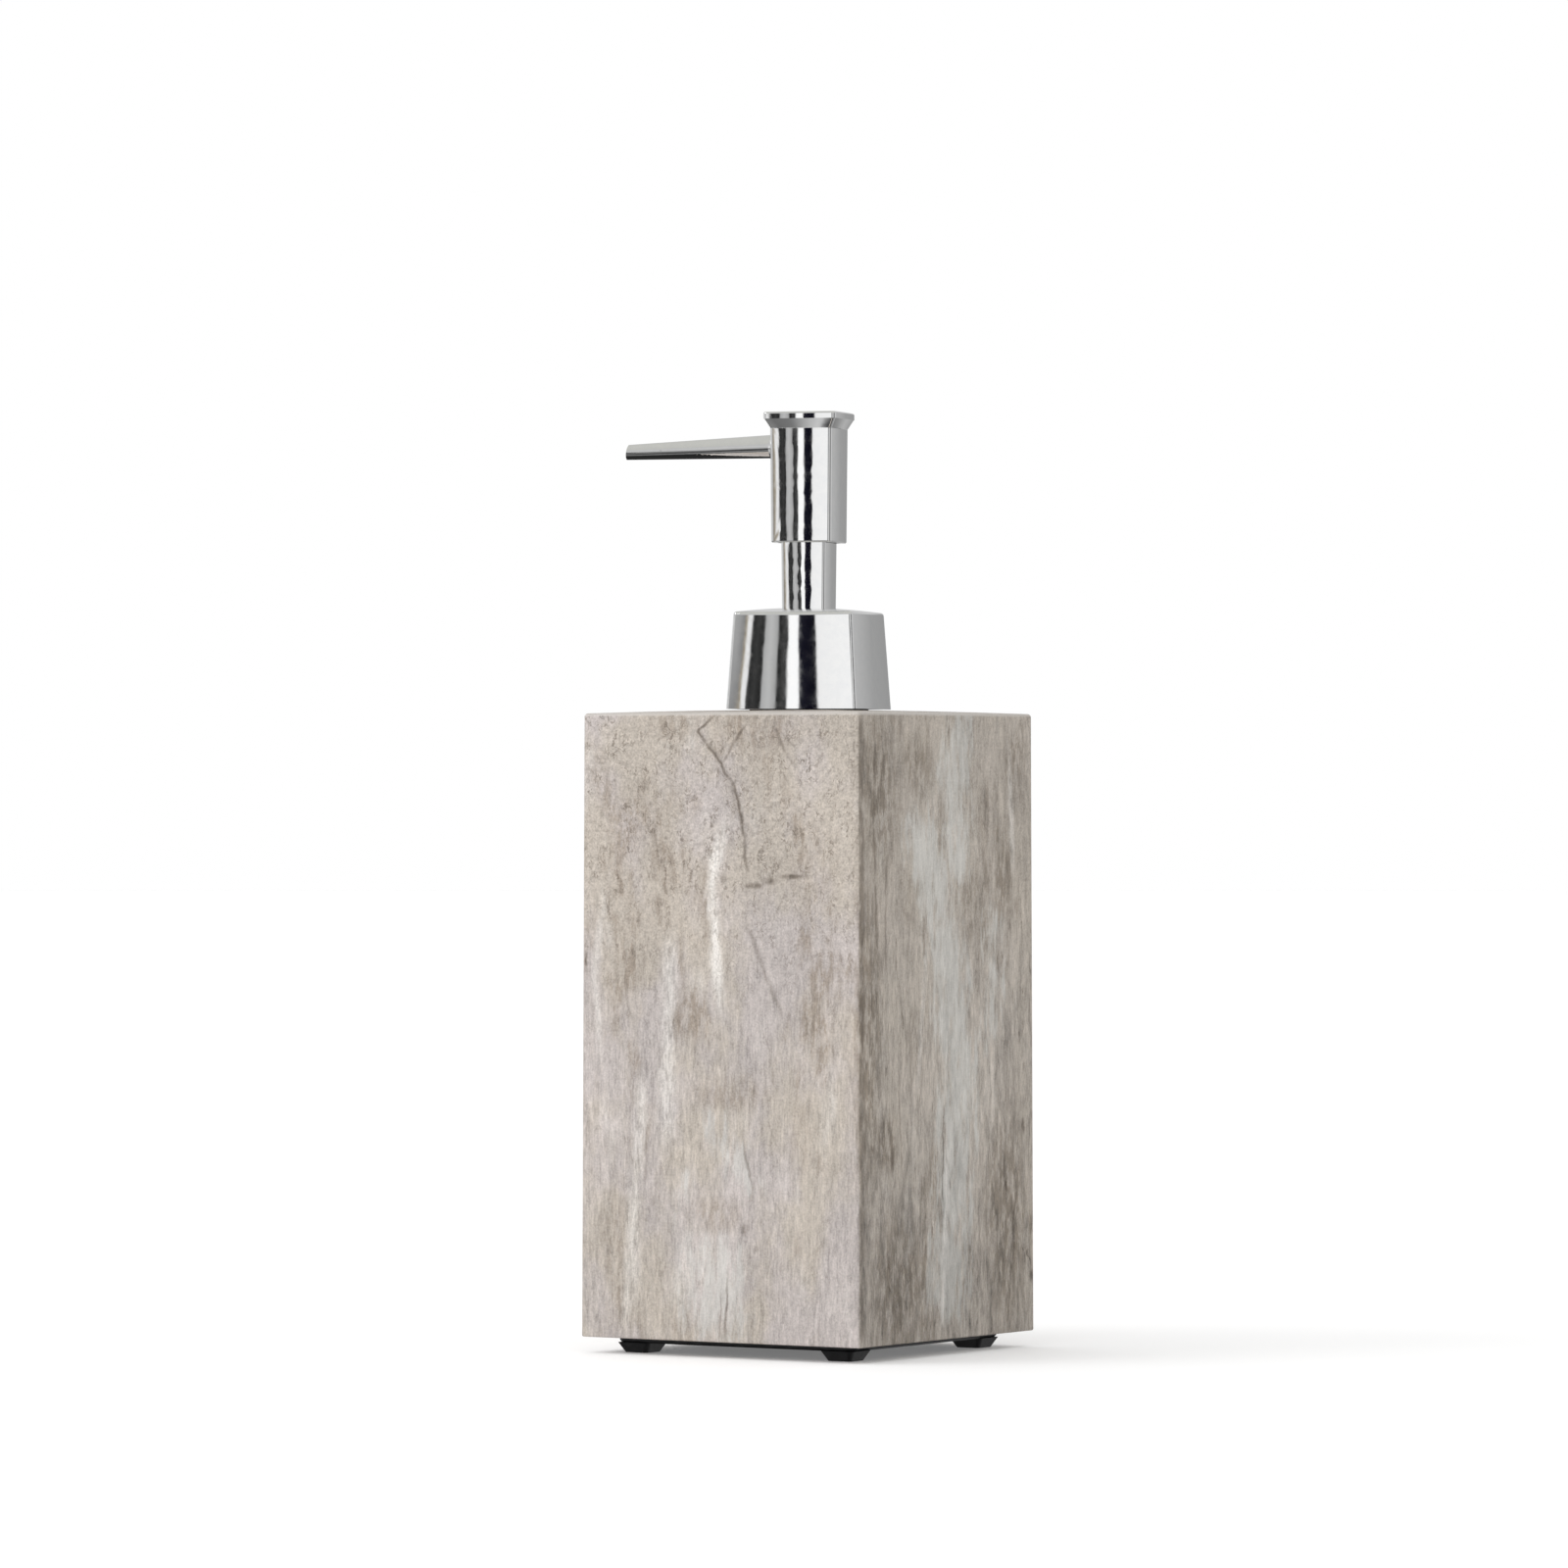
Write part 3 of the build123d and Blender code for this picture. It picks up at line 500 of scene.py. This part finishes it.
def white_plastic():
    material, g = new_material("white_plastic")
    place = object_mm(g)
    flow = g.noise(g.scaled(place, 1, 1, 0.4), 0.25, 3, 0.5)
    pit = g.noise(place, 3.5, 3, 0.6)
    colour = g.tint(flow, (0.76, 0.76, 0.73, 1), (0.84, 0.84, 0.82, 1))
    g.surface(
        Base_Color=colour,
        Roughness=g.step(pit, 0.3, 0.7, 0.30, 0.44),
        Subsurface_Weight=0.15,
        Subsurface_Radius=(0.002, 0.002, 0.002),
        Subsurface_Scale=0.4,
        Normal=g.bump(pit, 0.02 * MM, 0.4),
    )
    return material


def natural_plastic():
    material, g = new_material("natural_plastic")
    place = object_mm(g)
    cloud = g.noise(place, 0.35, 4, 0.55)
    lines = g.noise(g.scaled(place, 1, 1, 0.05), 2.2, 3, 0.6)
    colour = g.tint(cloud, (0.72, 0.76, 0.75, 1), (0.84, 0.86, 0.85, 1))
    g.surface(
        Base_Color=colour,
        Roughness=g.step(lines, 0.3, 0.7, 0.20, 0.36),
        Transmission_Weight=0.45,
        IOR=1.5,
        Normal=g.bump(lines, 0.02 * MM, 0.4),
    )
    return material


def rubber(name, dark, light, rough_low, rough_high):
    material, g = new_material(name)
    place = object_mm(g)
    grain = g.noise(place, 4.0, 5, 0.7)
    dust = g.noise(place, 0.4, 4, 0.6)
    colour = g.tint(g.step(dust, 0.42, 0.72), dark, light)
    g.surface(
        Base_Color=colour,
        Roughness=g.step(grain, 0.3, 0.7, rough_low, rough_high),
        Normal=g.bump(grain, 0.03 * MM, 0.5),
    )
    return material


def spring_steel():
    material, g = new_material("spring_steel")
    place = object_mm(g)
    drawn = g.noise(g.scaled(place, 1, 1, 6), 2.6, 4, 0.7)
    colour = g.tint(drawn, (0.50, 0.50, 0.51, 1), (0.70, 0.70, 0.70, 1))
    g.surface(
        Base_Color=colour,
        Metallic=1.0,
        Roughness=g.step(drawn, 0.3, 0.7, 0.18, 0.34),
        Normal=g.bump(drawn, 0.01 * MM, 0.4),
    )
    return material


def ball_glass():
    material, g = new_material("ball_glass")
    place = object_mm(g)
    scuff = g.noise(place, 2.4, 4, 0.7)
    colour = g.tint(scuff, (0.80, 0.93, 0.89, 1), (0.92, 0.98, 0.96, 1))
    g.surface(
        Base_Color=colour,
        Roughness=g.step(scuff, 0.45, 0.75, 0.02, 0.12),
        Transmission_Weight=1.0,
        IOR=1.5,
        Normal=g.bump(scuff, 0.01 * MM, 0.2),
    )
    return material


def dress():
    """Give every CAD node the material of its slot."""
    made = {
        "printed_resin": printed_resin(),
        "chrome": chrome(),
        "white_plastic": white_plastic(),
        "natural_plastic": natural_plastic(),
        "black_rubber": rubber("black_rubber", (0.008, 0.008, 0.009, 1), (0.016, 0.016, 0.017, 1), 0.34, 0.55),
        "seal_rubber": rubber("seal_rubber", (0.66, 0.64, 0.58, 1), (0.74, 0.73, 0.68, 1), 0.45, 0.60),
        "spring_steel": spring_steel(),
        "ball_glass": ball_glass(),
    }
    for part in frame["record"]["subparts"]:
        mesh = frame["nodes"][part["node"]].data
        mesh.materials.clear()
        mesh.materials.append(made[part["material_slot"]])
    return made


# ---------------------------------------------------------------- the return spring


def coil_angle_and_height(share):
    """The wire closes up over the last turn at each end."""
    closed = 1.0 / SPRING_TURNS
    low = SPRING_Z0 + SPRING_WIRE_R
    high = SPRING_Z1 - SPRING_WIRE_R
    seat = 2.3 * SPRING_WIRE_R
    angle = 2 * math.pi * SPRING_TURNS * share
    if share < closed:
        return angle, low + seat * share / closed
    if share > 1 - closed:
        return angle, high - seat * (1 - share) / closed
    middle = (share - closed) / (1 - 2 * closed)
    return angle, low + seat + (high - low - 2 * seat) * middle


def return_coil(steel):
    """A coil with closed ends, attached to the pump core in place of the CAD spring."""
    steps = 48 * int(SPRING_TURNS)
    sides = 10
    mesh = bmesh.new()
    rings = []
    for k in range(steps + 1):
        angle, z = coil_angle_and_height(k / steps)
        outward = Vector((math.cos(angle), math.sin(angle), 0))
        centre = Vector((AXIS_X, 0, z)) + outward * SPRING_MEAN_R
        ring = []
        for j in range(sides):
            turn = 2 * math.pi * j / sides
            offset = (outward * math.cos(turn) + Vector((0, 0, 1)) * math.sin(turn)) * SPRING_WIRE_R
            ring.append(mesh.verts.new(centre + offset))
        rings.append(ring)
    for a, b in zip(rings, rings[1:]):
        for j in range(sides):
            mesh.faces.new((a[j], a[(j + 1) % sides], b[(j + 1) % sides], b[j]))
    mesh.faces.new(rings[0])
    mesh.faces.new(rings[-1])
    bmesh.ops.recalc_face_normals(mesh, faces=mesh.faces)
    data = bpy.data.meshes.new("spring_coil")
    mesh.to_mesh(data)
    mesh.free()
    data.polygons.foreach_set("use_smooth", [True] * len(data.polygons))
    data.materials.append(steel)
    coil = bpy.data.objects.new("spring_coil", data)
    bpy.context.scene.collection.objects.link(coil)
    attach(coil, "pump_core")
    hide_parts("return_spring")
    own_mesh(coil)


# ---------------------------------------------------------------- studio


def floor():
    material, g = new_material("studio_floor")
    cloud = g.noise(g.node("TexCoord").outputs["Object"], 2.0, 2, 0.5)
    g.surface(
        Base_Color=g.tint(cloud, grey(0.90), grey(0.92)),
        Roughness=0.7,
        Specular_IOR_Level=0.2,
        Emission_Color=grey(1.0),
        Emission_Strength=0.16,
    )
    mesh = bmesh.new()
    bmesh.ops.create_circle(mesh, cap_ends=True, segments=96, radius=8.0)
    data = bpy.data.meshes.new("floor")
    mesh.to_mesh(data)
    mesh.free()
    data.materials.append(material)
    made = bpy.data.objects.new("floor", data)
    made.visible_glossy = False
    bpy.context.scene.collection.objects.link(made)


# Strips of the studio at the height of the horizon, which the chrome mirrors: (azimuth, level or colour).
FRONT_STRIPS = [
    (-16.0, 0.36),
    (-12.5, 0.40),
    (-10.9, 0.26),
    (-10.2, (0.34, 0.29, 0.21)),
    (-9.8, 0.92),
    (-9.0, 0.88),
    (-8.7, 0.020),
    (-7.2, 0.045),
    (-5.8, 0.014),
    (-5.4, 0.46),
    (-4.0, 0.54),
    (-2.5, 0.42),
    (-2.1, 0.012),
    (-0.8, 0.055),
    (-0.1, 0.024),
    (0.3, 1.10),
    (2.6, 1.10),
    (2.9, (0.008, 0.008, 0.016)),
    (6.6, (0.004, 0.004, 0.008)),
    (7.0, 0.95),
    (15.2, 1.00),
    (18.0, 0.70),
]
FRONT_LOW = -16.0
FRONT_HIGH = 18.0
ROUND_STRIPS = [
    (-180, 0.36),
    (-164, 0.32),
    (-150, 0.60),
    (-128, 0.95),
    (-122, 0.20),
    (-108, 0.16),
    (-102, 0.85),
    (-72, 0.95),
    (-66, 0.25),
    (-58, 0.20),
    (-52, 0.80),
    (-30, 0.55),
    (-16, 0.36),
    (18, 0.70),
    (22, 0.18),
    (34, 0.14),
    (40, 0.75),
    (70, 0.60),
    (78, 0.12),
    (98, 0.10),
    (106, 0.55),
    (140, 0.60),
    (163, 0.60),
    (168, 0.50),
    (180, 0.36),
]
# What faces that lean down by about 28 degrees mirror.
LOW_STRIPS = [
    (-180, 0.26),
    (-168, 0.26),
    (-158, 0.03),
    (-105, 0.03),
    (-70, 0.12),
    (-30, 0.30),
    (-21, 0.16),
    (-12, 0.20),
    (-6, 0.42),
    (1, 0.65),
    (4, 0.06),
    (9, 0.08),
    (30, 0.45),
    (80, 0.10),
    (120, 0.35),
    (180, 0.26),
]


# Seen from above, the upright chrome mirrors the room's lower walls.
FLOOR_STRIPS = [
    (-180, 0.30),
    (-172, 0.62),
    (-160, 0.70),
    (-96, 0.08),
    (-84, 0.55),
    (-64, 0.75),
    (-52, 0.10),
    (-40, 0.30),
    (20, 0.35),
    (36, 0.10),
    (44, 0.70),
    (64, 0.80),
    (70, 0.09),
    (88, 0.14),
    (96, 0.66),
    (118, 0.50),
    (126, 0.07),
    (140, 0.12),
    (147, 0.72),
    (166, 0.60),
    (171, 0.10),
    (180, 0.30),
]


def strip_stops(strips, low, high):
    stops = []
    for azimuth, level in strips:
        colour = (*level, 1) if isinstance(level, tuple) else grey(level)
        stops.append(((azimuth - low) / (high - low), colour))
    return stops


def studio():
    """Soft light all round. Only what mirrors it sees the strips; the camera sees plain white."""
    world = bpy.data.worlds.new("studio")
    bpy.context.scene.world = world
    world.use_nodes = True
    g = Graph(world.node_tree)
    x, y, z = g.parts(g.node("TexCoord").outputs["Generated"])
    azimuth = g.math("DEGREES", g.math("ARCTAN2", x, g.math("MULTIPLY", y, -1.0)))
    height = g.math("DEGREES", g.math("ARCSINE", z))
    waver = g.noise(g.joined(g.math("MULTIPLY", azimuth, 0.25), 0.0, height), 2.4, 3, 0.6)
    azimuth = g.math("MULTIPLY_ADD", g.math("SUBTRACT", waver, 0.5), 0.5, azimuth)

    whole = g.math("MULTIPLY_ADD", azimuth, 1 / 360, 0.5)
    around = g.ramp(whole, strip_stops(ROUND_STRIPS, -180, 180))
    near = g.math("MULTIPLY_ADD", azimuth, 1 / (FRONT_HIGH - FRONT_LOW), -FRONT_LOW / (FRONT_HIGH - FRONT_LOW))
    ahead = g.ramp(near, strip_stops(FRONT_STRIPS, FRONT_LOW, FRONT_HIGH))
    in_front = g.math(
        "MULTIPLY", g.math("GREATER_THAN", azimuth, FRONT_LOW), g.math("LESS_THAN", azimuth, FRONT_HIGH)
    )
    strips = g.tint(in_front, around, ahead)

    above = g.ramp(
        g.math("DIVIDE", height, 90.0, clamp=True),
        [(0.0, grey(0.80)), (0.25, grey(0.55)), (0.45, (0.58, 0.58, 0.55, 1)), (1.0, (0.62, 0.62, 0.59, 1))],
    )
    low = g.ramp(whole, strip_stops(LOW_STRIPS, -180, 180))
    under = g.ramp(
        g.math("DIVIDE", height, -90.0, clamp=True),
        [(0.0, grey(0.26)), (0.38, grey(0.18)), (0.46, grey(0.04)), (1.0, grey(0.03))],
    )
    aside = g.step(g.math("ABSOLUTE", g.math("ADD", azimuth, 10.0)), 28.0, 44.0)
    aside = g.math("MULTIPLY", aside, g.step(height, -50.0, -30.0, 0.0, 0.80))
    under = g.tint(aside, under, g.ramp(whole, strip_stops(FLOOR_STRIPS, -180, 180)))
    behind = g.math("MULTIPLY", g.step(azimuth, -164.0, -156.0), g.step(azimuth, -98.0, -106.0))
    under = g.tint(behind, under, grey(0.025))
    below = g.tint(g.math("MULTIPLY", g.step(height, -44.0, -49.0), g.step(height, -61.0, -57.0)), under, low)
    below = g.tint(g.step(height, -60.0, -66.0), below, grey(0.022))
    mirrored = g.tint(g.step(height, 9.0, 16.0), strips, above)
    mirrored = g.tint(g.step(height, -6.0, -14.0), mirrored, below)

    # The soft light itself comes rather from the front left and from above.
    lean = g.node("VectorMath", operation="DOT_PRODUCT")
    g.feed(lean.inputs[0], g.node("TexCoord").outputs["Generated"])
    lean.inputs[1].default_value = toward(-38, 25)
    soft = g.math("MULTIPLY_ADD", lean.outputs["Value"], LIGHT_LEAN, LIGHT_LEVEL)

    path = g.node("LightPath")
    colour = g.tint(path.outputs["Is Glossy Ray"], g.joined(soft, soft, soft), mirrored)
    colour = g.tint(path.outputs["Is Camera Ray"], colour, grey(1.0))
    light = g.node("Background")
    g.feed(light.inputs["Color"], colour)
    g.feed(g.node("OutputWorld").inputs[0], light.outputs[0])


def toward(azimuth, elevation):
    """The unit vector from the object towards a place in the studio, angles in degrees."""
    a, e = math.radians(azimuth), math.radians(elevation)
    return Vector((math.sin(a) * math.cos(e), -math.cos(a) * math.cos(e), math.sin(e)))


def soft_light(name, azimuth, elevation, distance, size, watts):
    data = bpy.data.lights.new(name, "AREA")
    data.shape = "DISK"
    data.size = size
    data.energy = watts
    made = bpy.data.objects.new(name, data)
    made.location = Vector((0, 0, 0.1)) + toward(azimuth, elevation) * distance
    made.rotation_mode = "QUATERNION"
    made.rotation_quaternion = toward(azimuth, elevation).to_track_quat("Z", "Y")
    made.visible_camera = False
    bpy.context.scene.collection.objects.link(made)


def camera():
    data = bpy.data.cameras.new("camera")
    data.lens = CAMERA_LENS
    data.sensor_width = 36
    data.clip_start = 0.01
    data.clip_end = 100
    made = bpy.data.objects.new("camera", data)
    back = Vector((math.sin(CAMERA_AZIMUTH), -math.cos(CAMERA_AZIMUTH), 0))
    aside = Vector((math.cos(CAMERA_AZIMUTH), math.sin(CAMERA_AZIMUTH), 0))
    made.location = Vector((AXIS_X, 0, CAMERA_HEIGHT)) + back * CAMERA_DISTANCE + aside * CAMERA_ASIDE
    made.rotation_mode = "QUATERNION"
    made.rotation_quaternion = back.to_track_quat("Z", "Y")
    bpy.context.scene.collection.objects.link(made)
    bpy.context.scene.camera = made


materials = dress()
return_coil(materials["spring_steel"])
floor()
studio()
soft_light("key", -42, 40, 2.2, 1.2, 8)
camera()
bpy.context.scene.view_settings.view_transform = "Standard"

bpy.context.view_layer.update()
